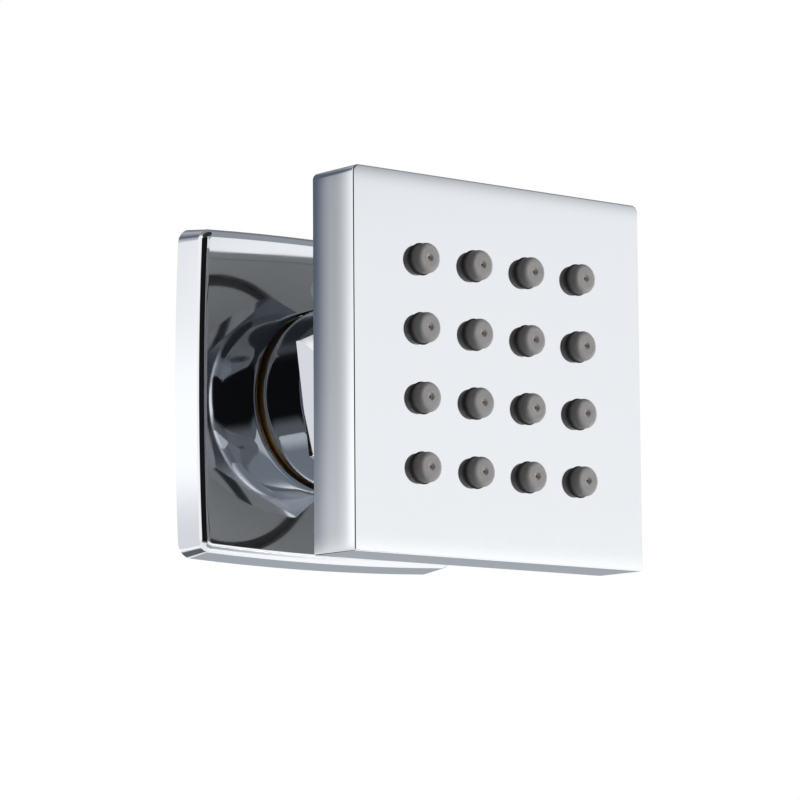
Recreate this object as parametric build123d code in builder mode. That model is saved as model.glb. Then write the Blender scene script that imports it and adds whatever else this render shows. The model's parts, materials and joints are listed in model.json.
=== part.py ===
from build123d import *
import math
import os

# Shower body jet: a square spray head on a swivel ball, in front of a square wall flange.
# Millimetres, +Z up. The origin lies on the wall plane, at the mouth of the water inlet.
# The jet sprays along -Y. A station is a distance in front of the wall plane.

# Wall flange
FLANGE_SIZE = 46.2
FLANGE_BOW = 0.6
FLANGE_CORNER = 2.2
FLANGE_DEPTH = 5.0
FLANGE_DRAFT = 7.0
FLANGE_EDGE = 1.2
FLANGE_WALL = 1.2
FLANGE_BORE_CLEARANCE = 0.5

# Foam pad and grip ring behind the flange
PAD_CLEARANCE = 0.4
PAD_NECK_CLEARANCE = 0.2
GRIP_WIRE = 1.3
GRIP_CLEARANCE = 0.05
GRIP_LIP = 0.7

# Inlet socket: bare brass, 1/2 inch pipe thread inside, thread for the nut outside
SOCKET_RADIUS = 12.4
SOCKET_CHAMFER = 0.5
INLET_RADIUS = 9.3
INLET_THREAD_LENGTH = 11.0
SOCKET_WEB = 2.2
SOCKET_FLOW_RADIUS = 4.6
NUT_THREAD_STEP = 1.5
THREAD_CLEARANCE = 0.05
BRASS_GAP = 1.0

# Inlet washer, screen and flow regulator
WASHER_THICKNESS = 1.8
WASHER_RELIEF = 0.4
WASHER_BORE = 6.6
WASHER_CLEARANCE = 0.15
SCREEN_THICKNESS = 0.4
SCREEN_HOLE_RADIUS = 0.7
SCREEN_HOLE_CIRCLE = 2.6
REGULATOR_RADIUS = 6.1
REGULATOR_THICKNESS = 1.2
REGULATOR_HOLE_RADIUS = 0.8
REGULATOR_HOLE_CIRCLE = 2.8
HOLES_PER_CIRCLE = 6

# Ball nut
BARREL_LENGTH = 9.6
BARREL_STEP = 0.7
FLARE_LENGTH = 2.2
FLARE_RISE = 0.5
HEX_ACROSS_FLATS = 27.0
HEX_CORNER_EDGE = 0.6
HEX_FLAT_LENGTH = 6.0
HEX_LENGTH = 9.8
HEX_TURN = 8.0
NUT_REAR_CHAMFER = 0.3
CAGE_RADIUS = 9.6
CAGE_LENGTH = 8.3

# Swivel ball and stem
BALL_RADIUS = 8.0
BALL_RISE = 6.1
BALL_REAR_FLAT = 3.5
BALL_LIP_CLEARANCE = 0.3
BALL_SEAT_CLEARANCE = 0.1
BALL_BORE_RADIUS = 3.0
STEM_RADIUS = 5.0
STEM_THREAD_LENGTH = 4.8
COLLAR_RADIUS = 5.9
COLLAR_FLATS = 10.2
COLLAR_REACH = 6.6
COLLAR_LENGTH = 1.4

# Rings round the ball and the stem
RING_CLEARANCE = 0.05
SEAT_LENGTH = 3.3
SEAL_WIRE = 1.4
FRICTION_LENGTH = 3.0
STEM_WASHER_RADIUS = 6.8
STEM_WASHER_THICKNESS = 1.0

# Head shell and back cover
HEAD_SIZE = 50.0
HEAD_DEPTH = 8.5
HEAD_TOP_CORNER = 1.0
HEAD_BOTTOM_CORNER = 0.3
HEAD_FRONT_EDGE = 0.2
HEAD_REAR_EDGE = 0.25
HEAD_WALL = 1.2
FACE_THICKNESS = 1.6
CORNER_BLOCK = 5.6
COVER_THICKNESS = 1.8
COVER_CLEARANCE = 0.05
BOSS_RADIUS = 9.0
BOSS_LENGTH = 2.3
BOSS_ROOT = 1.0
BOSS_EDGE = 0.6
GROOVE_RADIUS = 21.2
GROOVE_WIDTH = 1.8
GROOVE_DEPTH = 1.2

# Nozzles
NOZZLE_COUNT = 4
NOZZLE_PITCH = 9.1
NOZZLE_RADIUS = 2.0
NOZZLE_REACH = 1.8
NOZZLE_TIP_FILLET = 0.7
NOZZLE_HOLE_CLEARANCE = 0.15
DIMPLE_RADIUS = 0.55
DIMPLE_DEPTH = 0.25
ORIFICE_RADIUS = 0.2
ORIFICE_LENGTH = 1.2
THROAT_RADIUS = 1.0

# Stack behind the face: silicone mat, pressure plate and gasket
STACK_CLEARANCE = 0.3
STACK_CORNER = 0.6
MAT_THICKNESS = 1.2
PLATE_THICKNESS = 1.7
PORT_RADIUS = 1.4
GASKET_THICKNESS = 1.0
GASKET_WIDTH = 1.6

# Cover screws
SCREW_RADIUS = 1.0
SCREW_HEAD_RADIUS = 1.9
SCREW_LENGTH = 5.6
SCREW_INSET = 5.0
SCREW_CLEARANCE = 0.05
SCREW_TIP_ROOM = 0.4
RECESS_LENGTH = 2.2
RECESS_WIDTH = 0.5
RECESS_DEPTH = 0.5

# Places worked out from the sizes above
FLANGE_BORE = SOCKET_RADIUS + FLANGE_BORE_CLEARANCE
GRIP_GROOVE = SOCKET_RADIUS + GRIP_WIRE + 2 * GRIP_CLEARANCE
GRIP_FRONT = FLANGE_DEPTH - FLANGE_WALL
GRIP_REAR = GRIP_FRONT - GRIP_WIRE - 2 * GRIP_CLEARANCE
NECK_REAR = GRIP_REAR - GRIP_LIP
INLET_DEPTH = INLET_THREAD_LENGTH + WASHER_THICKNESS
RELIEF_RADIUS = INLET_RADIUS + WASHER_RELIEF
SOCKET_FRONT = INLET_DEPTH + SOCKET_WEB
NUT_THREAD_RADIUS = SOCKET_RADIUS - NUT_THREAD_STEP
NUT_REAR = FLANGE_DEPTH + BRASS_GAP
HEX_REAR = NUT_REAR + BARREL_LENGTH
NUT_FRONT = HEX_REAR + HEX_LENGTH
CAGE_FRONT = SOCKET_FRONT + CAGE_LENGTH
BALL_STATION = SOCKET_FRONT + BALL_RISE
STEM_LENGTH = COLLAR_REACH + COLLAR_LENGTH + STEM_THREAD_LENGTH
COLLAR_REAR = BALL_STATION + COLLAR_REACH
COLLAR_FRONT = COLLAR_REAR + COLLAR_LENGTH
BOSS_REAR = COLLAR_FRONT + STEM_WASHER_THICKNESS
HEAD_REAR = BOSS_REAR + BOSS_LENGTH
HEAD_FRONT = HEAD_REAR + HEAD_DEPTH
HEAD_INSIDE = HEAD_SIZE - 2 * HEAD_WALL
COVER_FRONT = HEAD_REAR + COVER_THICKNESS
FACE_REAR = HEAD_FRONT - FACE_THICKNESS
MAT_REAR = FACE_REAR - MAT_THICKNESS
PLATE_REAR = MAT_REAR - PLATE_THICKNESS
GASKET_FRONT = COVER_FRONT + GASKET_THICKNESS
NOZZLE_TIP = HEAD_FRONT + NOZZLE_REACH
GASKET_SIZE = HEAD_INSIDE - 2 * (CORNER_BLOCK + STACK_CLEARANCE)
SCREW_SPACING = HEAD_SIZE - 2 * SCREW_INSET

# Dome that turns the hexagon's front: it meets the corners and the middle of the flats
HEX_FLAT_RADIUS = HEX_ACROSS_FLATS / 2
HEX_CORNER_RADIUS = HEX_ACROSS_FLATS / math.sqrt(3)
DOME_REAR = HEX_REAR + HEX_CORNER_EDGE
FLAT_FRONT = HEX_REAR + HEX_FLAT_LENGTH
DOME_DROP = HEX_CORNER_RADIUS**2 - HEX_FLAT_RADIUS**2
DOME_CENTRE = (FLAT_FRONT + DOME_REAR) / 2 - DOME_DROP / (2 * (FLAT_FRONT - DOME_REAR))
DOME_RADIUS = math.hypot(DOME_REAR - DOME_CENTRE, HEX_CORNER_RADIUS)

# Hollow flare that leads from the barrel to the hexagon
BARREL_RADIUS = HEX_FLAT_RADIUS - BARREL_STEP
FLARE_RADIUS = (FLARE_LENGTH**2 + FLARE_RISE**2) / (2 * FLARE_RISE)
FLARE_REAR = HEX_REAR - FLARE_LENGTH

SPRAY_AXIS = Axis((0, 0, 0), (0, -1, 0))
BALL_CENTRE = (0, -BALL_STATION, 0)
POLES_ON_AXIS = (90, 0, 0)

# Half section of the turned pieces: x is the station, y the radius
SECTION = Plane(origin=(0, 0, 0), x_dir=(0, -1, 0), z_dir=(-1, 0, 0))


def station(distance):
    """Plane across the axis at a distance in front of the wall, seen from the front."""
    return Plane(origin=(0, -distance, 0), x_dir=(1, 0, 0), z_dir=(0, -1, 0))


def band(start, end, inner, outer):
    """Rectangle of a half section, between two stations and two radii."""
    with Locations((start, inner)):
        Rectangle(end - start, outer - inner, align=(Align.MIN, Align.MIN))


def bowed_square(size):
    """Flange outline: a square with rounded corners whose four sides bulge by the bow."""
    half = size / 2
    edge = half - FLANGE_BOW
    corners = [(-edge, -edge), (edge, -edge), (edge, edge), (-edge, edge)]
    crowns = [(0, -half), (half, 0), (0, half), (-half, 0)]
    with BuildLine() as outline:
        for side in range(4):
            ThreePointArc(corners[side], crowns[side], corners[(side + 1) % 4])
    face = make_face(outline.edges())
    fillet(face.vertices(), FLANGE_CORNER)


def stack_outline(clearance):
    """Inside of the head: a square without its four corner blocks."""
    square = HEAD_INSIDE - 2 * clearance
    block = CORNER_BLOCK + clearance
    Rectangle(square, square)
    with GridLocations(HEAD_INSIDE, HEAD_INSIDE, 2, 2):
        Rectangle(2 * block, 2 * block, mode=Mode.SUBTRACT)


def gasket_frame():
    """Square frame that runs round the nozzles, inside the corner blocks."""
    RectangleRounded(GASKET_SIZE, GASKET_SIZE, STACK_CORNER)
    opening = GASKET_SIZE - 2 * GASKET_WIDTH
    Rectangle(opening, opening, mode=Mode.SUBTRACT)


def nozzle_grid():
    return GridLocations(NOZZLE_PITCH, NOZZLE_PITCH, NOZZLE_COUNT, NOZZLE_COUNT)


def screw_grid():
    return GridLocations(SCREW_SPACING, SCREW_SPACING, 2, 2)


os.makedirs("parts", exist_ok=True)

# Wall flange: drafted square cup with a flat face and a grooved neck for the grip ring
with BuildPart() as wall_flange:
    with BuildSketch(station(0)):
        bowed_square(FLANGE_SIZE)
    extrude(amount=FLANGE_DEPTH, taper=FLANGE_DRAFT)
    fillet(wall_flange.faces().sort_by(SPRAY_AXIS)[-1].edges(), FLANGE_EDGE)
    with BuildSketch(station(0)):
        bowed_square(FLANGE_SIZE - 2 * FLANGE_WALL)
    extrude(amount=FLANGE_DEPTH - FLANGE_WALL, taper=FLANGE_DRAFT, mode=Mode.SUBTRACT)
    with BuildSketch(SECTION):
        band(NECK_REAR, GRIP_FRONT, FLANGE_BORE, GRIP_GROOVE + FLANGE_WALL)
    revolve(axis=SPRAY_AXIS)
    with BuildSketch(SECTION):
        band(0, FLANGE_DEPTH, 0, FLANGE_BORE)
        band(GRIP_REAR, GRIP_FRONT, 0, GRIP_GROOVE)
    revolve(axis=SPRAY_AXIS, mode=Mode.SUBTRACT)
wall_flange.part.label = "wall_flange"
export_step(wall_flange.part, "parts/wall_flange.step")

# Foam pad: lies on the wall inside the flange, with a round hole for the socket
with BuildPart() as flange_gasket:
    with BuildSketch(station(0)):
        bowed_square(FLANGE_SIZE - 2 * (FLANGE_WALL + PAD_CLEARANCE))
        Circle(FLANGE_BORE, mode=Mode.SUBTRACT)
    extrude(amount=NECK_REAR - PAD_NECK_CLEARANCE)
flange_gasket.part.label = "flange_gasket"
export_step(flange_gasket.part, "parts/flange_gasket.step")

# Grip ring: rubber O-ring in the flange's groove, tight on the socket
with BuildPart() as flange_o_ring:
    with BuildSketch(SECTION):
        with Locations(((GRIP_REAR + GRIP_FRONT) / 2, (SOCKET_RADIUS + GRIP_GROOVE) / 2)):
            Circle(GRIP_WIRE / 2)
    revolve(axis=SPRAY_AXIS)
flange_o_ring.part.label = "flange_o_ring"
export_step(flange_o_ring.part, "parts/flange_o_ring.step")

# Inlet socket: brass, bored for the supply thread, with a web that carries screen and regulator
with BuildPart() as inlet_socket:
    with BuildSketch(SECTION):
        band(0, NUT_REAR, 0, SOCKET_RADIUS)
        band(NUT_REAR, SOCKET_FRONT, 0, NUT_THREAD_RADIUS)
    revolve(axis=SPRAY_AXIS)
    with BuildSketch(SECTION):
        band(0, INLET_THREAD_LENGTH, 0, INLET_RADIUS)
        band(INLET_THREAD_LENGTH, INLET_DEPTH, 0, RELIEF_RADIUS)
        band(INLET_DEPTH, SOCKET_FRONT, 0, SOCKET_FLOW_RADIUS)
        band(SOCKET_FRONT - REGULATOR_THICKNESS, SOCKET_FRONT, 0, REGULATOR_RADIUS + RING_CLEARANCE)
    revolve(axis=SPRAY_AXIS, mode=Mode.SUBTRACT)
    rear_edges = inlet_socket.edges().filter_by(GeomType.CIRCLE).group_by(SPRAY_AXIS)[0]
    chamfer(rear_edges.sort_by(SortBy.RADIUS)[-1], SOCKET_CHAMFER)
inlet_socket.part.label = "inlet_socket"
export_step(inlet_socket.part, "parts/inlet_socket.step")

# Inlet washer: flat rubber ring in the relief behind the inlet thread
with BuildPart() as inlet_washer:
    with BuildSketch(SECTION):
        band(INLET_THREAD_LENGTH, INLET_DEPTH, WASHER_BORE, RELIEF_RADIUS - WASHER_CLEARANCE)
    revolve(axis=SPRAY_AXIS)
inlet_washer.part.label = "inlet_washer"
export_step(inlet_washer.part, "parts/inlet_washer.step")

# Filter screen: perforated disc inside the washer, on the socket's web
with BuildPart() as filter_screen:
    with BuildSketch(station(INLET_DEPTH - SCREEN_THICKNESS)):
        Circle(WASHER_BORE - WASHER_CLEARANCE)
        Circle(SCREEN_HOLE_RADIUS, mode=Mode.SUBTRACT)
        with PolarLocations(SCREEN_HOLE_CIRCLE, HOLES_PER_CIRCLE):
            Circle(SCREEN_HOLE_RADIUS, mode=Mode.SUBTRACT)
    extrude(amount=SCREEN_THICKNESS)
filter_screen.part.label = "filter_screen"
export_step(filter_screen.part, "parts/filter_screen.step")

# Flow regulator: plastic disc in the front recess of the web, held by the seat ring
with BuildPart() as flow_regulator:
    with BuildSketch(station(SOCKET_FRONT - REGULATOR_THICKNESS)):
        Circle(REGULATOR_RADIUS)
        with PolarLocations(REGULATOR_HOLE_CIRCLE, HOLES_PER_CIRCLE):
            Circle(REGULATOR_HOLE_RADIUS, mode=Mode.SUBTRACT)
    extrude(amount=REGULATOR_THICKNESS)
flow_regulator.part.label = "flow_regulator"
export_step(flow_regulator.part, "parts/flow_regulator.step")

# Seat ring: plastic cup under the ball, against the socket
with BuildPart() as seat_ring:
    with BuildSketch(SECTION):
        band(SOCKET_FRONT, SOCKET_FRONT + SEAT_LENGTH, 0, CAGE_RADIUS - RING_CLEARANCE)
    revolve(axis=SPRAY_AXIS)
    with Locations(BALL_CENTRE):
        Sphere(BALL_RADIUS + BALL_SEAT_CLEARANCE, rotation=POLES_ON_AXIS, mode=Mode.SUBTRACT)
seat_ring.part.label = "seat_ring"
export_step(seat_ring.part, "parts/seat_ring.step")

# Friction ring: plastic ring in front of the ball, pressed on it by the nut
with BuildPart() as friction_ring:
    with BuildSketch(SECTION):
        band(CAGE_FRONT - FRICTION_LENGTH, CAGE_FRONT, 0, CAGE_RADIUS - RING_CLEARANCE)
    revolve(axis=SPRAY_AXIS)
    with Locations(BALL_CENTRE):
        Sphere(BALL_RADIUS + BALL_SEAT_CLEARANCE, rotation=POLES_ON_AXIS, mode=Mode.SUBTRACT)
friction_ring.part.label = "friction_ring"
export_step(friction_ring.part, "parts/friction_ring.step")

# Ball seal: rubber O-ring between the two rings, round the ball
SEAL_STATION = (SOCKET_FRONT + SEAT_LENGTH + CAGE_FRONT - FRICTION_LENGTH) / 2
with BuildPart() as ball_seal:
    with BuildSketch(SECTION):
        with Locations((SEAL_STATION, CAGE_RADIUS - RING_CLEARANCE - SEAL_WIRE / 2)):
            Circle(SEAL_WIRE / 2)
    revolve(axis=SPRAY_AXIS)
ball_seal.part.label = "ball_seal"
export_step(ball_seal.part, "parts/ball_seal.step")

# Ball nut: round barrel with a flare, hexagon with a domed front, and a lip that keeps the ball in
with BuildPart() as ball_nut:
    with BuildSketch(station(HEX_REAR)):
        RegularPolygon(HEX_FLAT_RADIUS, 6, major_radius=False, rotation=30 + HEX_TURN)
    extrude(amount=HEX_LENGTH)
    with BuildSketch(SECTION):
        band(HEX_REAR, NUT_FRONT, 0, DOME_RADIUS)
        with Locations((DOME_CENTRE, 0)):
            Circle(DOME_RADIUS, mode=Mode.INTERSECT)
    revolve(axis=SPRAY_AXIS, mode=Mode.INTERSECT)
    with BuildSketch(SECTION):
        band(NUT_REAR, FLARE_REAR, 0, BARREL_RADIUS)
        band(FLARE_REAR, HEX_REAR, 0, BARREL_RADIUS + FLARE_RADIUS)
        with Locations((FLARE_REAR, BARREL_RADIUS + FLARE_RADIUS)):
            Circle(FLARE_RADIUS, mode=Mode.SUBTRACT)
    revolve(axis=SPRAY_AXIS)
    chamfer(ball_nut.faces().sort_by(SPRAY_AXIS)[0].edges(), NUT_REAR_CHAMFER)
    with BuildSketch(SECTION):
        band(NUT_REAR, SOCKET_FRONT, 0, NUT_THREAD_RADIUS + THREAD_CLEARANCE)
        band(SOCKET_FRONT, CAGE_FRONT, 0, CAGE_RADIUS)
    revolve(axis=SPRAY_AXIS, mode=Mode.SUBTRACT)
    with Locations(BALL_CENTRE):
        Sphere(BALL_RADIUS + BALL_LIP_CLEARANCE, rotation=POLES_ON_AXIS, mode=Mode.SUBTRACT)
ball_nut.part.label = "ball_nut"
export_step(ball_nut.part, "parts/ball_nut.step")

# Swivel ball: ball with a flat rear, stem with a collar for a spanner, bored through
with BuildPart() as swivel_ball:
    with Locations(BALL_CENTRE):
        Sphere(BALL_RADIUS, rotation=POLES_ON_AXIS)
    split(bisect_by=station(BALL_STATION - BALL_REAR_FLAT), keep=Keep.TOP)
    with BuildSketch(station(BALL_STATION)):
        Circle(STEM_RADIUS)
    extrude(amount=STEM_LENGTH)
    with BuildSketch(station(COLLAR_REAR)):
        Circle(COLLAR_RADIUS)
        Rectangle(COLLAR_FLATS, 2 * COLLAR_RADIUS, mode=Mode.INTERSECT)
    extrude(amount=COLLAR_LENGTH)
    with BuildSketch(station(BALL_STATION - BALL_REAR_FLAT)):
        Circle(BALL_BORE_RADIUS)
    extrude(amount=BALL_REAR_FLAT + STEM_LENGTH, mode=Mode.SUBTRACT)
swivel_ball.part.label = "swivel_ball"
export_step(swivel_ball.part, "parts/swivel_ball.step")

# Stem washer: flat seal between the collar and the boss of the head
with BuildPart() as stem_washer:
    with BuildSketch(station(COLLAR_FRONT)):
        Circle(STEM_WASHER_RADIUS)
        Circle(STEM_RADIUS + THREAD_CLEARANCE, mode=Mode.SUBTRACT)
    extrude(amount=STEM_WASHER_THICKNESS)
stem_washer.part.label = "stem_washer"
export_step(stem_washer.part, "parts/stem_washer.step")

# Face shell: face and four sides in one piece, open at the back, with blocks in its corners
with BuildPart() as face_shell:
    with BuildSketch(station(HEAD_REAR)) as head_outline:
        Rectangle(HEAD_SIZE, HEAD_SIZE)
        fillet(head_outline.vertices().group_by(Axis.Y)[0], HEAD_BOTTOM_CORNER)
        fillet(head_outline.vertices().group_by(Axis.Y)[-1], HEAD_TOP_CORNER)
    extrude(amount=HEAD_DEPTH)
    fillet(face_shell.faces().sort_by(SPRAY_AXIS)[-1].edges(), HEAD_FRONT_EDGE)
    fillet(face_shell.faces().sort_by(SPRAY_AXIS)[0].edges(), HEAD_REAR_EDGE)
    with BuildSketch(station(HEAD_REAR)):
        Rectangle(HEAD_INSIDE, HEAD_INSIDE)
    extrude(amount=COVER_THICKNESS, mode=Mode.SUBTRACT)
    with BuildSketch(station(COVER_FRONT)):
        stack_outline(0)
    extrude(amount=FACE_REAR - COVER_FRONT, mode=Mode.SUBTRACT)
    with BuildSketch(station(FACE_REAR)):
        with nozzle_grid():
            Circle(NOZZLE_RADIUS + NOZZLE_HOLE_CLEARANCE)
    extrude(amount=FACE_THICKNESS, mode=Mode.SUBTRACT)
    with BuildSketch(station(COVER_FRONT)):
        with screw_grid():
            Circle(SCREW_RADIUS + SCREW_CLEARANCE)
    extrude(amount=SCREW_LENGTH - COVER_THICKNESS + SCREW_TIP_ROOM, mode=Mode.SUBTRACT)
face_shell.part.label = "face_shell"
export_step(face_shell.part, "parts/face_shell.step")

# Nozzle mat: one silicone sheet with bored and dimpled nipples that come out of the face
with BuildPart() as nozzle_mat:
    with BuildSketch(station(MAT_REAR)):
        stack_outline(STACK_CLEARANCE)
    extrude(amount=MAT_THICKNESS)
    with BuildSketch(station(FACE_REAR)):
        with nozzle_grid():
            Circle(NOZZLE_RADIUS)
    extrude(amount=NOZZLE_TIP - FACE_REAR)
    fillet(nozzle_mat.faces().group_by(SPRAY_AXIS)[-1].edges(), NOZZLE_TIP_FILLET)
    with Locations(station(NOZZLE_TIP - DIMPLE_DEPTH)):
        with nozzle_grid():
            Cone(
                ORIFICE_RADIUS,
                DIMPLE_RADIUS,
                DIMPLE_DEPTH,
                align=(Align.CENTER, Align.CENTER, Align.MIN),
                mode=Mode.SUBTRACT,
            )
    with BuildSketch(station(MAT_REAR)):
        with nozzle_grid():
            Circle(ORIFICE_RADIUS)
    extrude(amount=NOZZLE_TIP - MAT_REAR, mode=Mode.SUBTRACT)
    with BuildSketch(station(MAT_REAR)):
        with nozzle_grid():
            Circle(THROAT_RADIUS)
    extrude(amount=NOZZLE_TIP - MAT_REAR - ORIFICE_LENGTH, mode=Mode.SUBTRACT)
nozzle_mat.part.label = "nozzle_mat"
export_step(nozzle_mat.part, "parts/nozzle_mat.step")

# Pressure plate: plastic plate behind the mat, with a port for each nozzle and a sealing rim
with BuildPart() as pressure_plate:
    with BuildSketch(station(PLATE_REAR)):
        stack_outline(STACK_CLEARANCE)
        with nozzle_grid():
            Circle(PORT_RADIUS, mode=Mode.SUBTRACT)
    extrude(amount=PLATE_THICKNESS)
    with BuildSketch(station(GASKET_FRONT)):
        gasket_frame()
    extrude(amount=PLATE_REAR - GASKET_FRONT)
pressure_plate.part.label = "pressure_plate"
export_step(pressure_plate.part, "parts/pressure_plate.step")

# Chamber gasket: rubber frame between the rim of the plate and the back cover
with BuildPart() as chamber_gasket:
    with BuildSketch(station(COVER_FRONT)):
        gasket_frame()
    extrude(amount=GASKET_THICKNESS)
chamber_gasket.part.label = "chamber_gasket"
export_step(chamber_gasket.part, "parts/chamber_gasket.step")

# Back cover: square plate let into the shell, with a turned groove and the boss for the stem
with BuildPart() as back_cover:
    with BuildSketch(station(HEAD_REAR)):
        Rectangle(HEAD_INSIDE - 2 * COVER_CLEARANCE, HEAD_INSIDE - 2 * COVER_CLEARANCE)
    extrude(amount=COVER_THICKNESS)
    with BuildSketch(station(BOSS_REAR)):
        Circle(BOSS_RADIUS)
    extrude(amount=HEAD_REAR - BOSS_REAR)
    boss_edges = back_cover.edges().filter_by(GeomType.CIRCLE).sort_by(SPRAY_AXIS)
    fillet(boss_edges[-1], BOSS_ROOT)
    fillet(back_cover.faces().sort_by(SPRAY_AXIS)[0].edges(), BOSS_EDGE)
    with BuildSketch(station(BOSS_REAR)):
        Circle(STEM_RADIUS + THREAD_CLEARANCE)
    extrude(amount=COVER_FRONT - BOSS_REAR, mode=Mode.SUBTRACT)
    with BuildSketch(station(HEAD_REAR)):
        Circle(GROOVE_RADIUS)
        Circle(GROOVE_RADIUS - GROOVE_WIDTH, mode=Mode.SUBTRACT)
    extrude(amount=GROOVE_DEPTH, mode=Mode.SUBTRACT)
    with Locations(Plane(origin=(0, -HEAD_REAR, 0), x_dir=(1, 0, 0), z_dir=(0, 1, 0))):
        with screw_grid():
            CounterSinkHole(SCREW_RADIUS + SCREW_CLEARANCE, SCREW_HEAD_RADIUS + SCREW_CLEARANCE)
back_cover.part.label = "back_cover"
export_step(back_cover.part, "parts/back_cover.step")

# Cover screws: four countersunk screws with a cross recess, through the cover into the blocks
with BuildPart() as cover_screws:
    with BuildSketch(station(HEAD_REAR)):
        with screw_grid():
            Circle(SCREW_HEAD_RADIUS)
    extrude(amount=SCREW_HEAD_RADIUS - SCREW_RADIUS, taper=45)
    with BuildSketch(station(HEAD_REAR)):
        with screw_grid():
            Circle(SCREW_RADIUS)
    extrude(amount=SCREW_LENGTH)
    with BuildSketch(station(HEAD_REAR)):
        with screw_grid():
            Rectangle(RECESS_LENGTH, RECESS_WIDTH)
            Rectangle(RECESS_WIDTH, RECESS_LENGTH)
    extrude(amount=RECESS_DEPTH, mode=Mode.SUBTRACT)
cover_screws.part.label = "cover_screws"
export_step(cover_screws.part, "parts/cover_screws.step")
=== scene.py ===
"""Looks of the shower body jet: chrome, brass, silicone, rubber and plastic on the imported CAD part.

Metres, in the frame of the part: the wall plane is y = 0, the jet sprays along -Y, +Z is up.
A station is a distance in front of the wall, along the spray axis.
"""

import json
import math

import bpy
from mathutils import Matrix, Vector

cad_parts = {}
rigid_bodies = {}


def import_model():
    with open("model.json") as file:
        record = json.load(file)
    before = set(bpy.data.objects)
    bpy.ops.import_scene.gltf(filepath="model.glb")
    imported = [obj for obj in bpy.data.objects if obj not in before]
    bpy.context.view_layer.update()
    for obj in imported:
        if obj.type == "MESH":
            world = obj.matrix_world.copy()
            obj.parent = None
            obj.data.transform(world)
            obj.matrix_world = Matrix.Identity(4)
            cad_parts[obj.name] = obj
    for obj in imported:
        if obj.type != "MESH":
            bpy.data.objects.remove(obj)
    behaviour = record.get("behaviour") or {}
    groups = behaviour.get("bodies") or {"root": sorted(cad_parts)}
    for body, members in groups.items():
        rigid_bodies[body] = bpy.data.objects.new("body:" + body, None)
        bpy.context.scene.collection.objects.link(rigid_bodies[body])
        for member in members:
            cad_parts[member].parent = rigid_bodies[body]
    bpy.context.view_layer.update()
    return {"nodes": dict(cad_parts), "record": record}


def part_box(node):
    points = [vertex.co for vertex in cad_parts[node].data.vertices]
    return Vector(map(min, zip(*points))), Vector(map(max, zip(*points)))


MM = 0.001

# Camera: below and to the left of the head, as in the photograph
CAMERA_LOCATION = (-0.34396, -0.43287, -0.07428)
CAMERA_ROTATION_DEG = (97.72, 0.41, -39.74)
CAMERA_LENS_MM = 180.0
SENSOR_WIDTH_MM = 36.0
CAMERA_CLIP = (0.01, 50.0)

# Studio: the floor's glow is given at its middle and at its edge
HEAD_CENTRE = (0.0, -0.036, 0.0)
CARD_DISTANCE = 0.8
FLOOR_HEIGHT = -0.45
FLOOR_SIZE = 5.0
FLOOR_COLOUR = (0.80, 0.80, 0.80)
FLOOR_GLOW = (0.50, 0.76)
WHITE = (1.0, 1.0, 1.0)
WORLD_LIGHT = 0.28

# Nozzles of the mat: spacing, the dimple round each orifice, and the painted shade at each root in front
# of the face
NOZZLE_PITCH = 9.1 * MM
DIMPLE_RADIUS = 0.55 * MM
ORIFICE_RADIUS = 0.2 * MM
ROOT_SHADE_HEIGHT = 0.9 * MM

# Buffed edges of the head, along X, Y and Z: how far in from an edge the plate rolls off, and by how much
BUFF_REACH = (3.0 * MM, 4.25 * MM, 3.0 * MM)
BUFF_DEPTH = (0.02 * MM, 0.13 * MM, 0.06 * MM)
ROLL_POWER = 3.0

# Flange: slope of its face, and the buffed corners, where they start and their roll-off radius
FACE_SLOPE = 0.0175
CORNER_START = 20.0 * MM
CORNER_ROLL = 250.0 * MM

# Nut: its rolled rear edge, the barrel and flare, which are painted darker than the hexagon as
# painted shade, and the sloping rear shoulder of the hexagon
ROLL_REACH = 2.2 * MM
ROLL_DEPTH = 0.30 * MM
BARREL_FRONT = 15.2 * MM
BARREL_SHADE_BLEND = 0.3 * MM
SHOULDER_SLOPE = 0.35
SHOULDER_ROUGHNESS = 0.22

# Parts of a surface that face the wall, from this cosine on, and from this one in full
SHOULDER_FACING = (0.9, 0.98)
RIM_FACING = (0.6, 0.9)
RIM_ROUGHNESS = 0.55

# Socket: its pipe thread with painted shade in the roots, the tool lines, and painted shade on its
# outside, in the recess in front of the wall
THREAD_PITCH = 1.814 * MM
THREAD_DEPTH = 0.5 * MM
THREAD_RUNOUT = 0.8 * MM
BORE_BLEND = (0.02 * MM, 0.1 * MM)
TOOL_LINE_PITCH = 0.22 * MM
RECESS_SHADE_START = 2.0 * MM
RECESS_SHADE_FULL = 4.0 * MM
BORE_WALL = 0.5 * MM

# Turned groove on the back of the head, which gets a painted dark band as shade
GROOVE_RADIUS = 21.2 * MM
GROOVE_WIDTH = 1.8 * MM

# Colours: where there are two, the darker and the lighter shade of a material
CHROME = ((0.83, 0.85, 0.885), (0.85, 0.87, 0.90))
# Painted shade: darker chrome for the nut's barrel and flare
BARREL_SHADE_CHROME = (0.42, 0.45, 0.49)
# Painted shade: darker chrome for the shoulder that faces the wall
SHOULDER_SHADE_CHROME = (0.30, 0.325, 0.36)
BARE_RIM = (0.42, 0.43, 0.44)
BRASS = ((0.66, 0.40, 0.13), (0.88, 0.60, 0.25))
# Painted shade: darker brass on the socket's outside, in the recess between flange and nut
BRASS_RECESS_SHADE = (0.30, 0.175, 0.055)
# Painted shade in the roots of the inlet's thread
THREAD_ROOT_SHADE = (0.30, 0.17, 0.05)
SILICONE = ((0.235, 0.23, 0.23), (0.275, 0.27, 0.27))
# Painted shade: dark brown at each nozzle's root, next to the face
NOZZLE_ROOT_SHADE = (0.055, 0.047, 0.041)
DIMPLE_TAN = (0.22, 0.185, 0.155)
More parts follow.
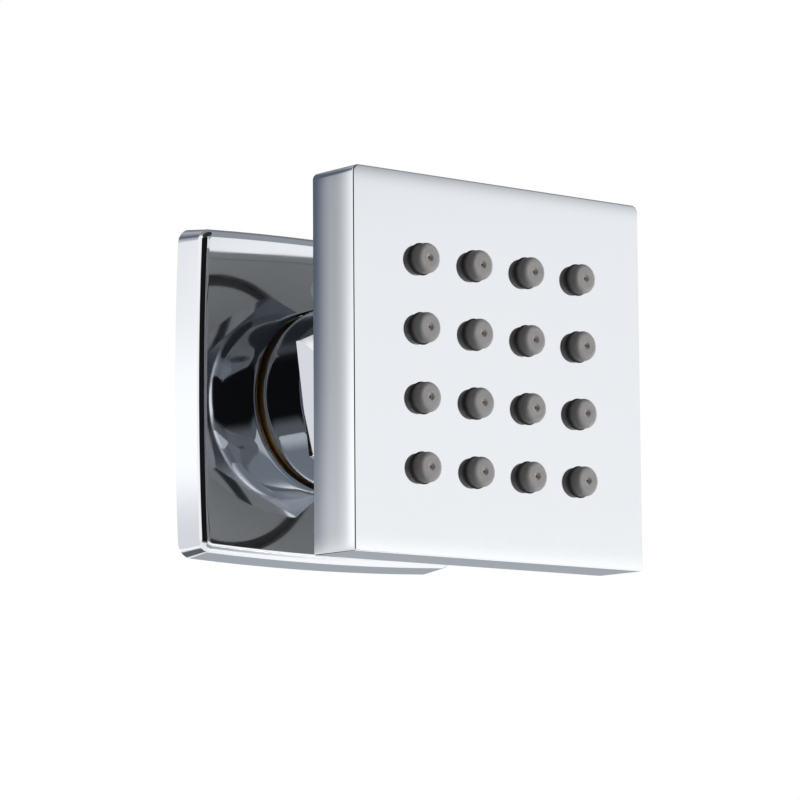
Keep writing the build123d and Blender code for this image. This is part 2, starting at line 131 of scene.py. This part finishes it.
# Tan stain in the orifice's bore, made lighter as painted light
ORIFICE_TAN_AND_LIGHT = (0.42, 0.37, 0.32)
RUBBER = ((0.012, 0.012, 0.012), (0.03, 0.03, 0.031))
FOAM = ((0.16, 0.16, 0.165), (0.24, 0.24, 0.245))
NATURAL_PLASTIC = ((0.62, 0.60, 0.55), (0.70, 0.68, 0.63))
GREY_PLASTIC = ((0.40, 0.41, 0.42), (0.44, 0.45, 0.46))
# Painted shade: dark band over the groove on the head's back
PAINTED_GROOVE_SHADE = (0.04, 0.04, 0.042)
STEEL = ((0.34, 0.34, 0.345), (0.42, 0.42, 0.425))

# Values between which a noise mostly lies
NOISE_SPAN = (0.3, 0.7)


def clear_startup_scene():
    """Empties the scene that is there at the start."""
    for obj in list(bpy.data.objects):
        bpy.data.objects.remove(obj)


def link(obj):
    """Puts an object into the scene."""
    bpy.context.scene.collection.objects.link(obj)
    return obj


class Nodes:
    """Short way to write a shader's node tree."""

    def __init__(self, tree):
        self.tree = tree
        self.tree.nodes.clear()

    def add(self, kind, inputs=(), **settings):
        """New node: settings are its properties, inputs pairs of socket and value or socket."""
        node = self.tree.nodes.new(kind)
        for name, value in settings.items():
            setattr(node, name, value)
        for socket, value in inputs:
            self.put(node.inputs[socket], value)
        return node

    def put(self, socket, value):
        """Links an output to a socket, or sets the socket's own value. A colour comes without alpha."""
        if isinstance(value, bpy.types.NodeSocket):
            self.tree.links.new(value, socket)
        elif socket.type == "RGBA":
            socket.default_value = (*value, 1.0)
        else:
            socket.default_value = value

    def math(self, operation, a, b=0.0):
        node = self.add("ShaderNodeMath", [(0, a), (1, b)], operation=operation)
        return node.outputs[0]

    def remap(self, value, low, high, to_low, to_high):
        """Value from low..high to to_low..to_high, smoothly and clamped."""
        span = [("Value", value), ("From Min", low), ("From Max", high)]
        target = [("To Min", to_low), ("To Max", to_high)]
        node = self.add("ShaderNodeMapRange", span + target, interpolation_type="SMOOTHSTEP")
        return node.outputs["Result"]

    def step(self, value, low, high):
        """0 below low, 1 above high, smooth between them."""
        return self.remap(value, low, high, 0.0, 1.0)

    def fade(self, value, low, high):
        """1 below low, 0 above high, smooth between them."""
        return self.remap(value, low, high, 1.0, 0.0)

    def spread(self, noise, low, high):
        """Value between low and high that follows a noise."""
        return self.remap(noise, *NOISE_SPAN, low, high)

    def mix_colour(self, factor, a, b):
        """Colour a where the factor is 0, b where it is 1."""
        node = self.add("ShaderNodeMix", data_type="RGBA")
        self.put(node.inputs[0], factor)
        self.put(node.inputs[6], a)
        self.put(node.inputs[7], b)
        return node.outputs[2]

    def position(self):
        """Place on the piece, in metres, at rest."""
        return self.add("ShaderNodeTexCoord").outputs["Object"]

    def part(self, vector, axis):
        """One component of a vector."""
        return self.add("ShaderNodeSeparateXYZ", [(0, vector)]).outputs[axis]

    def noise(self, vector, scale, detail=2.0, roughness=0.5):
        settings = [("Scale", scale), ("Detail", detail), ("Roughness", roughness)]
        return self.add("ShaderNodeTexNoise", [("Vector", vector), *settings]).outputs["Fac"]

    def bump(self, height, depth, strength=1.0, normal=None):
        """Normal of a surface with this height, which the depth scales to metres."""
        inputs = [("Height", height), ("Distance", depth), ("Strength", strength)]
        if normal is not None:
            inputs.append(("Normal", normal))
        return self.add("ShaderNodeBump", inputs).outputs["Normal"]

    def surface(self, **sockets):
        """Principled surface with these sockets, named with _ for spaces."""
        inputs = [(name.replace("_", " "), value) for name, value in sockets.items()]
        shader = self.add("ShaderNodeBsdfPrincipled", inputs)
        self.add("ShaderNodeOutputMaterial", [("Surface", shader.outputs["BSDF"])])


def material(name):
    """New material and its empty node tree."""
    made = bpy.data.materials.new(name)
    made.use_nodes = True
    return made, Nodes(made.node_tree)


def station_of(nodes, place):
    """Distance in front of the wall."""
    return nodes.math("MULTIPLY", nodes.part(place, "Y"), -1.0)


def axis_radius(nodes, place):
    """Distance from the spray axis."""
    squares = [nodes.math("POWER", nodes.math("ABSOLUTE", nodes.part(place, name)), 2.0) for name in "XZ"]
    return nodes.math("SQRT", nodes.math("ADD", *squares))


def facing_wall(nodes, cosines):
    """1 where the surface faces the wall, 0 where it doesn't, with a smooth step between two cosines."""
    facing = nodes.add("ShaderNodeTexCoord").outputs["Normal"]
    return nodes.step(nodes.part(facing, "Y"), *cosines)


def rolled_edge(nodes, from_edge, reach):
    """Height of a surface that rolls off towards an edge: -1 at the edge, 0 from the reach on."""
    share = nodes.math("DIVIDE", from_edge, reach)
    rise = nodes.math("MAXIMUM", nodes.math("SUBTRACT", 1.0, share), 0.0)
    return nodes.math("MULTIPLY", nodes.math("POWER", rise, ROLL_POWER), -1.0)


def buffed_edges(nodes, place, box):
    """Normal of a box-shaped piece whose edges were rounded a little more by the buffing wheel."""
    normal = None
    for axis, name in enumerate("XYZ"):
        low, high = box[0][axis], box[1][axis]
        from_middle = nodes.math("SUBTRACT", nodes.part(place, name), (low + high) / 2)
        from_edge = nodes.math("SUBTRACT", (high - low) / 2, nodes.math("ABSOLUTE", from_middle))
        height = rolled_edge(nodes, from_edge, BUFF_REACH[axis])
        normal = nodes.bump(height, BUFF_DEPTH[axis], normal=normal)
    return normal


def buffed_corners(nodes, place):
    """Normal of the flange: it leans a little, and its four corners were buffed lower."""
    beyond = nodes.math("MAXIMUM", nodes.math("SUBTRACT", axis_radius(nodes, place), CORNER_START), 0.0)
    drop = nodes.math("DIVIDE", nodes.math("POWER", beyond, 2.0), 2 * CORNER_ROLL)
    lean = nodes.math("MULTIPLY", nodes.part(place, "Z"), FACE_SLOPE)
    return nodes.bump(nodes.math("SUBTRACT", lean, drop), 1.0)


def chrome_finish(nodes, place, normal=None):
    """Sockets of polished chrome plate: faint waviness under the plating and a thin water film."""
    film = nodes.noise(place, scale=90.0, detail=4.0, roughness=0.6)
    waviness = nodes.noise(place, scale=160.0, detail=1.0)
    return {
        "Base_Color": nodes.mix_colour(film, *CHROME),
        "Metallic": 1.0,
        "Roughness": nodes.spread(film, 0.03, 0.06),
        "Normal": nodes.bump(waviness, 0.004 * MM, normal=normal),
    }


def roughen(nodes, finish, where, roughness):
    """Makes a finish at least this rough where the mask is 1."""
    rough = nodes.math("MULTIPLY", where, roughness)
    finish["Roughness"] = nodes.math("MAXIMUM", finish["Roughness"], rough)


def chrome():
    """Polished chrome plate of the ball."""
    made, nodes = material("chrome_plate")
    nodes.surface(**chrome_finish(nodes, nodes.position()))
    return made


def chrome_nut(nut_rear):
    """Polished chrome plate of the nut: rolled rear edge, painted shade on the barrel, and a rougher
    sloping shoulder with painted shade.
    """
    made, nodes = material("chrome_plate_nut")
    place = nodes.position()
    station = station_of(nodes, place)
    from_edge = nodes.math("SUBTRACT", station, nut_rear)
    rolled = nodes.bump(rolled_edge(nodes, from_edge, ROLL_REACH), ROLL_DEPTH)
    shoulder = facing_wall(nodes, SHOULDER_FACING)
    inward = nodes.math("MULTIPLY", axis_radius(nodes, place), -1.0)
    sloped = nodes.bump(inward, SHOULDER_SLOPE, shoulder, rolled)
    finish = chrome_finish(nodes, place, sloped)
    # Painted shade: the barrel and flare behind the hexagon take a darker chrome colour
    hexagon = nodes.step(station, BARREL_FRONT - BARREL_SHADE_BLEND, BARREL_FRONT + BARREL_SHADE_BLEND)
    plate = nodes.mix_colour(hexagon, BARREL_SHADE_CHROME, finish["Base_Color"])
    # Painted shade: the shoulder that faces the wall takes a darker colour; it is rougher too
    finish["Base_Color"] = nodes.mix_colour(shoulder, plate, SHOULDER_SHADE_CHROME)
    roughen(nodes, finish, shoulder, SHOULDER_ROUGHNESS)
    nodes.surface(**finish)
    return made


def chrome_flange():
    """Polished chrome plate of the flange."""
    made, nodes = material("chrome_plate_flange")
    place = nodes.position()
    nodes.surface(**chrome_finish(nodes, place, buffed_corners(nodes, place)))
    return made


def chrome_head(box):
    """Polished chrome plate of the head. The rim at its back is bare and grey."""
    made, nodes = material("chrome_plate_head")
    place = nodes.position()
    finish = chrome_finish(nodes, place, buffed_edges(nodes, place, box))
    bare = facing_wall(nodes, RIM_FACING)
    finish["Base_Color"] = nodes.mix_colour(bare, finish["Base_Color"], BARE_RIM)
    finish["Metallic"] = nodes.math("SUBTRACT", 1.0, bare)
    roughen(nodes, finish, bare, RIM_ROUGHNESS)
    nodes.surface(**finish)
    return made


def pipe_thread(nodes, place, bore_radius, bore_length):
    """Right-handed thread in the inlet's bore, as a share: 1 in its root, 0 on its crest and elsewhere."""
    angle = nodes.math("ARCTAN2", nodes.part(place, "X"), nodes.part(place, "Z"))
    along = nodes.math("MULTIPLY", nodes.part(place, "Y"), 2 * math.pi / THREAD_PITCH)
    wave = nodes.math("SINE", nodes.math("SUBTRACT", along, angle))
    root = nodes.math("MULTIPLY", nodes.math("ADD", wave, 1.0), 0.5)
    edges = [bore_radius + blend for blend in BORE_BLEND]
    bore = nodes.fade(axis_radius(nodes, place), *edges)
    thread_end = bore_length - THREAD_RUNOUT
    cut = nodes.fade(station_of(nodes, place), thread_end - THREAD_RUNOUT, thread_end)
    return nodes.math("MULTIPLY", root, nodes.math("MULTIPLY", bore, cut))


def brass(inlet):
    """Bare turned brass: fine tool lines, brown patches, painted shade on the outside in front of the
    wall, and the inlet's thread with painted shade in its roots.
    """
    made, nodes = material("bare_brass")
    place = nodes.position()
    bore_radius = inlet["r_mm"] * MM
    patches = nodes.noise(place, scale=220.0, detail=4.0, roughness=0.6)
    turns = nodes.math("MULTIPLY", nodes.part(place, "Y"), 2 * math.pi / TOOL_LINE_PITCH)
    lines = nodes.math("SINE", turns)
    thread = pipe_thread(nodes, place, bore_radius, inlet["length_mm"] * MM)
    threaded = nodes.bump(nodes.math("MULTIPLY", thread, -1.0), THREAD_DEPTH)
    outside = nodes.math("GREATER_THAN", axis_radius(nodes, place), bore_radius + BORE_WALL)
    # Painted shade: the socket's outside in front of the wall, in the recess between flange and nut, is
    # darkened
    past_shade_start = nodes.step(station_of(nodes, place), RECESS_SHADE_START, RECESS_SHADE_FULL)
    recess_shade = nodes.math("MULTIPLY", outside, past_shade_start)
    metal = nodes.mix_colour(recess_shade, nodes.mix_colour(patches, *BRASS), BRASS_RECESS_SHADE)
    nodes.surface(
        # Painted shade in the thread's roots
        Base_Color=nodes.mix_colour(thread, metal, THREAD_ROOT_SHADE),
        Metallic=0.93,
        Roughness=nodes.spread(patches, 0.28, 0.40),
        Normal=nodes.bump(lines, 0.01 * MM, normal=threaded),
    )
    return made


def nozzle_radius(nodes, place):
    """Distance from the axis of the nearest nozzle."""
    squares = []
    for name in "XZ":
        cell = nodes.math("FRACT", nodes.math("DIVIDE", nodes.part(place, name), NOZZLE_PITCH))
        offset = nodes.math("MULTIPLY", nodes.math("SUBTRACT", cell, 0.5), NOZZLE_PITCH)
        squares.append(nodes.math("POWER", nodes.math("ABSOLUTE", offset), 2.0))
    return nodes.math("SQRT", nodes.math("ADD", *squares))


def silicone(head_front):
    """Grey moulded silicone: matt, with a fine skin, painted shade at the roots, a tan tint in each
    dimple, and a lighter tan in each bore as painted light.
    """
    made, nodes = material("grey_silicone")
    place = nodes.position()
    skin = nodes.noise(place, scale=2500.0, detail=3.0)
    cloud = nodes.noise(place, scale=300.0, detail=3.0)
    # Painted shade: dark brown at the root of each nozzle, fading out towards the tip
    tip = nodes.step(station_of(nodes, place), head_front, head_front + ROOT_SHADE_HEIGHT)
    grey = nodes.mix_colour(tip, NOZZLE_ROOT_SHADE, nodes.mix_colour(cloud, *SILICONE))
    radius = nozzle_radius(nodes, place)
    dimple = nodes.fade(radius, 0.3 * DIMPLE_RADIUS, 1.1 * DIMPLE_RADIUS)
    # Tan stain in the dimple, and a lighter tan in the orifice's bore as painted light against the bore's
    # shade
    bore = nodes.fade(radius, ORIFICE_RADIUS, 1.6 * ORIFICE_RADIUS)
    tan = nodes.mix_colour(bore, DIMPLE_TAN, ORIFICE_TAN_AND_LIGHT)
    nodes.surface(
        Base_Color=nodes.mix_colour(dimple, grey, tan),
        Roughness=nodes.spread(skin, 0.42, 0.56),
        Subsurface_Weight=0.8,
        Subsurface_Radius=(0.8, 0.6, 0.5),
        Subsurface_Scale=1.2 * MM,
        Normal=nodes.bump(skin, 0.004 * MM),
    )
    return made


def rubber():
    """Black moulded rubber with a dusty bloom."""
    made, nodes = material("black_rubber")
    bloom = nodes.noise(nodes.position(), scale=500.0, detail=4.0, roughness=0.7)
    nodes.surface(
        Base_Color=nodes.mix_colour(bloom, *RUBBER),
        Roughness=nodes.spread(bloom, 0.5, 0.7),
        Normal=nodes.bump(bloom, 0.02 * MM),
    )
    return made


def foam():
    """Closed-cell foam: grey, with round cells."""
    made, nodes = material("closed_cell_foam")
    place = nodes.position()
    cells = nodes.add("ShaderNodeTexVoronoi", [("Vector", place), ("Scale", 1500.0)])
    shade = nodes.noise(place, scale=400.0, detail=3.0)
    nodes.surface(
        Base_Color=nodes.mix_colour(shade, *FOAM),
        Roughness=0.9,
        Normal=nodes.bump(cells.outputs["Distance"], 0.2 * MM),
    )
    return made


def plastic():
    """Natural white moulded plastic with a fine grain."""
    made, nodes = material("natural_plastic")
    grain = nodes.noise(nodes.position(), scale=3000.0)
    nodes.surface(
        Base_Color=nodes.mix_colour(grain, *NATURAL_PLASTIC),
        Roughness=nodes.spread(grain, 0.35, 0.5),
        Normal=nodes.bump(grain, 0.01 * MM),
    )
    return made


def grey_plastic():
    """Grey moulded plastic of the head's back: matt, with a fine grain and painted shade over the groove.
    """
    made, nodes = material("grey_plastic")
    place = nodes.position()
    grain = nodes.noise(place, scale=2200.0, detail=3.0, roughness=0.6)
    cloud = nodes.noise(place, scale=120.0)
    middle = GROOVE_RADIUS - GROOVE_WIDTH / 2
    off = nodes.math("ABSOLUTE", nodes.math("SUBTRACT", axis_radius(nodes, place), middle))
    # Painted shade: a dark band over the turned groove
    groove = nodes.fade(off, 0.4 * GROOVE_WIDTH, 0.6 * GROOVE_WIDTH)
    nodes.surface(
        Base_Color=nodes.mix_colour(groove, nodes.mix_colour(cloud, *GREY_PLASTIC), PAINTED_GROOVE_SHADE),
        Roughness=nodes.spread(grain, 0.5, 0.65),
        Normal=nodes.bump(grain, 0.02 * MM),
    )
    return made


def steel():
    """Plain stainless steel: fine grain and slightly uneven gloss."""
    made, nodes = material("stainless_steel")
    grain = nodes.noise(nodes.position(), scale=1800.0, detail=4.0, roughness=0.7)
    nodes.surface(
        Base_Color=nodes.mix_colour(grain, *STEEL),
        Metallic=1.0,
        Roughness=nodes.spread(grain, 0.38, 0.50),
        Normal=nodes.bump(grain, 0.005 * MM),
    )
    return made


def dress(pieces, record):
    """Gives each CAD node the material of its slot in the record, and the chromed forms their own."""
    inlet = next(mount["dims"] for mount in record["mounts"] if mount["name"] == "inlet")
    head_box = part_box("face_shell")
    head_front = -head_box[0].y
    nut_rear = -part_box("ball_nut")[1].y
    finishes = {
        "chrome": chrome(),
        "brass": brass(inlet),
        "silicone": silicone(head_front),
        "black_rubber": rubber(),
        "foam": foam(),
        "natural_plastic": plastic(),
        "grey_plastic": grey_plastic(),
        "steel": steel(),
    }
    for obj in pieces.values():
        for slot in obj.material_slots:
            slot.material = finishes[slot.material.name]
    pieces["wall_flange"].material_slots[0].material = chrome_flange()
    pieces["ball_nut"].material_slots[0].material = chrome_nut(nut_rear)
    pieces["face_shell"].material_slots[0].material = chrome_head(head_box)


def make_camera():
    """Camera at the photograph's viewing angle."""
    data = bpy.data.cameras.new("camera")
    data.sensor_width = SENSOR_WIDTH_MM
    data.lens = CAMERA_LENS_MM
    data.clip_start, data.clip_end = CAMERA_CLIP
    camera = link(bpy.data.objects.new("camera", data))
    camera.location = CAMERA_LOCATION
    camera.rotation_euler = [math.radians(angle) for angle in CAMERA_ROTATION_DEG]
    bpy.context.scene.camera = camera


def seen(nodes):
    """1 for the camera and for reflections that it sees, 0 for light on matt surfaces."""
    rays = nodes.add("ShaderNodeLightPath")
    mirrored = nodes.math("MAXIMUM", rays.outputs["Is Glossy Ray"], rays.outputs["Is Transmission Ray"])
    shown = nodes.math("MAXIMUM", rays.outputs["Is Camera Ray"], mirrored)
    direct = nodes.math("LESS_THAN", rays.outputs["Diffuse Depth"], 0.5)
    return nodes.math("MULTIPLY", shown, direct)


def make_world():
    """White surroundings for the camera and for reflections, plain light for the rest."""
    world = bpy.data.worlds.new("studio")
    bpy.context.scene.world = world
    world.use_nodes = True
    nodes = Nodes(world.node_tree)
    strength = nodes.remap(seen(nodes), 0.0, 1.0, WORLD_LIGHT, 1.0)
    back = nodes.add("ShaderNodeBackground", [("Color", WHITE), ("Strength", strength)])
    nodes.add("ShaderNodeOutputWorld", [("Surface", back.outputs[0])])


def panel(name, centre, target, width, height, made):
    """Flat studio panel that faces a target. It isn't part of the object."""
    mesh = bpy.data.meshes.new(name)
    x, y = width / 2, height / 2
    mesh.from_pydata([(-x, -y, 0), (x, -y, 0), (x, y, 0), (-x, y, 0)], [], [(0, 1, 2, 3)])
    mesh.materials.append(made)
    obj = link(bpy.data.objects.new(name, mesh))
    obj.location = centre
    obj.rotation_mode = "QUATERNION"
    obj.rotation_quaternion = (Vector(target) - Vector(centre)).to_track_quat("Z", "Y")
    return obj


def make_floor():
    """Pale floor that runs out into the white surroundings and keeps its shadows."""
    made, nodes = material("floor")
    away = nodes.add("ShaderNodeVectorMath", [(0, nodes.position())], operation="LENGTH").outputs["Value"]
    glow = nodes.remap(away, 0.0, FLOOR_SIZE / 2, *FLOOR_GLOW)
    strength = nodes.math("MULTIPLY", seen(nodes), glow)
    pale = nodes.add("ShaderNodeEmission", [("Color", WHITE), ("Strength", strength)])
    matt = nodes.add("ShaderNodeBsdfDiffuse", [("Color", FLOOR_COLOUR)])
    both = nodes.add("ShaderNodeAddShader", [(0, pale.outputs[0]), (1, matt.outputs[0])])
    nodes.add("ShaderNodeOutputMaterial", [("Surface", both.outputs[0])])
    panel("floor", (0, 0, FLOOR_HEIGHT), (0, 0, 1), FLOOR_SIZE, FLOOR_SIZE, made)


def card_material(name, colour, fade):
    """Even tone of a studio card, fading out over these shares of its width and height."""
    made, nodes = material(name)
    place = nodes.add("ShaderNodeTexCoord").outputs["Generated"]
    masks = []
    for axis, share in zip("XY", fade):
        from_middle = nodes.math("ABSOLUTE", nodes.math("SUBTRACT", nodes.part(place, axis), 0.5))
        masks.append(nodes.fade(from_middle, 0.5 - share, 0.5))
    clear = nodes.add("ShaderNodeBsdfTransparent")
    tone = nodes.add("ShaderNodeEmission", [("Color", colour)])
    mask = nodes.math("MULTIPLY", *masks)
    mixed = nodes.add("ShaderNodeMixShader", [(0, mask), (1, clear.outputs[0]), (2, tone.outputs[0])])
    nodes.add("ShaderNodeOutputMaterial", [("Surface", mixed.outputs[0])])
    return made


def direction(azimuth, elevation):
    """Unit vector: azimuth 0 looks out of the wall along -Y, 90 to the right, in degrees."""
    turn, rise = math.radians(azimuth), math.radians(elevation)
    return Vector((math.sin(turn) * math.cos(rise), -math.cos(turn) * math.cos(rise), math.sin(rise)))


def card(name, azimuth, elevation, span, fade, colour, distance=CARD_DISTANCE):
    """Studio card that only reflections show. Span and fade are angles, as seen from the head."""
    target = Vector(HEAD_CENTRE)
    centre = target + direction(azimuth, elevation) * distance
    sides = [2 * distance * math.tan(math.radians(angle) / 2) for angle in span]
    shares = [edge / whole for edge, whole in zip(fade, span)]
    made = panel(name, centre, target, *sides, card_material(name, colour, shares))
    made.visible_camera = False
    made.visible_diffuse = False
    made.visible_shadow = False


def make_cards():
    """Surroundings that the chrome in the photograph shows: dark room, grey walls, white boxes."""
    card("room_behind_camera", -40, 9, (80, 66), (8, 12), (0.008, 0.008, 0.009))
    card("table_before_camera", -45, -40, (84, 72), (12, 12), (0.20, 0.21, 0.22), 0.9)
    card("table_in_front", 10, -50, (70, 50), (15, 15), (0.34, 0.37, 0.40), 0.41)
    card("paper_right", 85, -42, (80, 50), (12, 12), (1.1, 1.1, 1.1), 0.5)
    card("floor_behind", 180, -42, (44, 36), (10, 10), (0.12, 0.13, 0.14), 0.5)
    card("light_box_right", 42, -8, (50, 26), (6, 6), (1.15, 1.15, 1.15))
    card("light_box_left", -121, -4, (32, 30), (6, 6), (1.15, 1.15, 1.15), 0.75)
    card("floor_left", -132, -17.5, (50, 39), (10, 5), (0.77, 0.78, 0.80), 0.6)
    card("wall_left", -165.2, 24, (72, 62), (21, 19), (0.10, 0.125, 0.165))
    card("wall_right", 142, -12, (56, 44), (6, 6), (0.38, 0.41, 0.44))
    card("wall_front", 48, 46, (90, 70), (20, 12), (0.30, 0.32, 0.35))
    card("haze_front", 42, 24, (70, 44), (10, 20), (0.90, 0.905, 0.91), 1.4)
    card("ceiling_front", -5, 58, (100, 60), (12, 12), (0.03, 0.033, 0.038), 0.7)
    card("ceiling_behind", 127, 42, (70, 44), (12, 12), (0.19, 0.20, 0.21))
    card("ceiling", 0, 90, (100, 100), (25, 25), (0.25, 0.26, 0.27))


def lamp(name, azimuth, elevation, distance, size, power):
    """Soft round lamp, which the chrome doesn't show."""
    data = bpy.data.lights.new(name, "AREA")
    data.shape = "DISK"
    data.size = size
    data.energy = power
    obj = link(bpy.data.objects.new(name, data))
    target = Vector(HEAD_CENTRE)
    obj.location = target + direction(azimuth, elevation) * distance
    obj.rotation_mode = "QUATERNION"
    obj.rotation_quaternion = (target - obj.location).to_track_quat("-Z", "Y")
    obj.visible_glossy = False


def make_lamps():
    """Key lamp from the front right, and a weaker one from behind on the left."""
    lamp("key", azimuth=48, elevation=-8, distance=1.0, size=0.5, power=11.0)
    lamp("back", azimuth=-145, elevation=0, distance=1.0, size=0.8, power=3.0)


clear_startup_scene()
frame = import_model()

bpy.context.scene.view_settings.view_transform = "Standard"
dress(frame["nodes"], frame["record"])
make_camera()
make_world()
make_floor()
make_cards()
make_lamps()
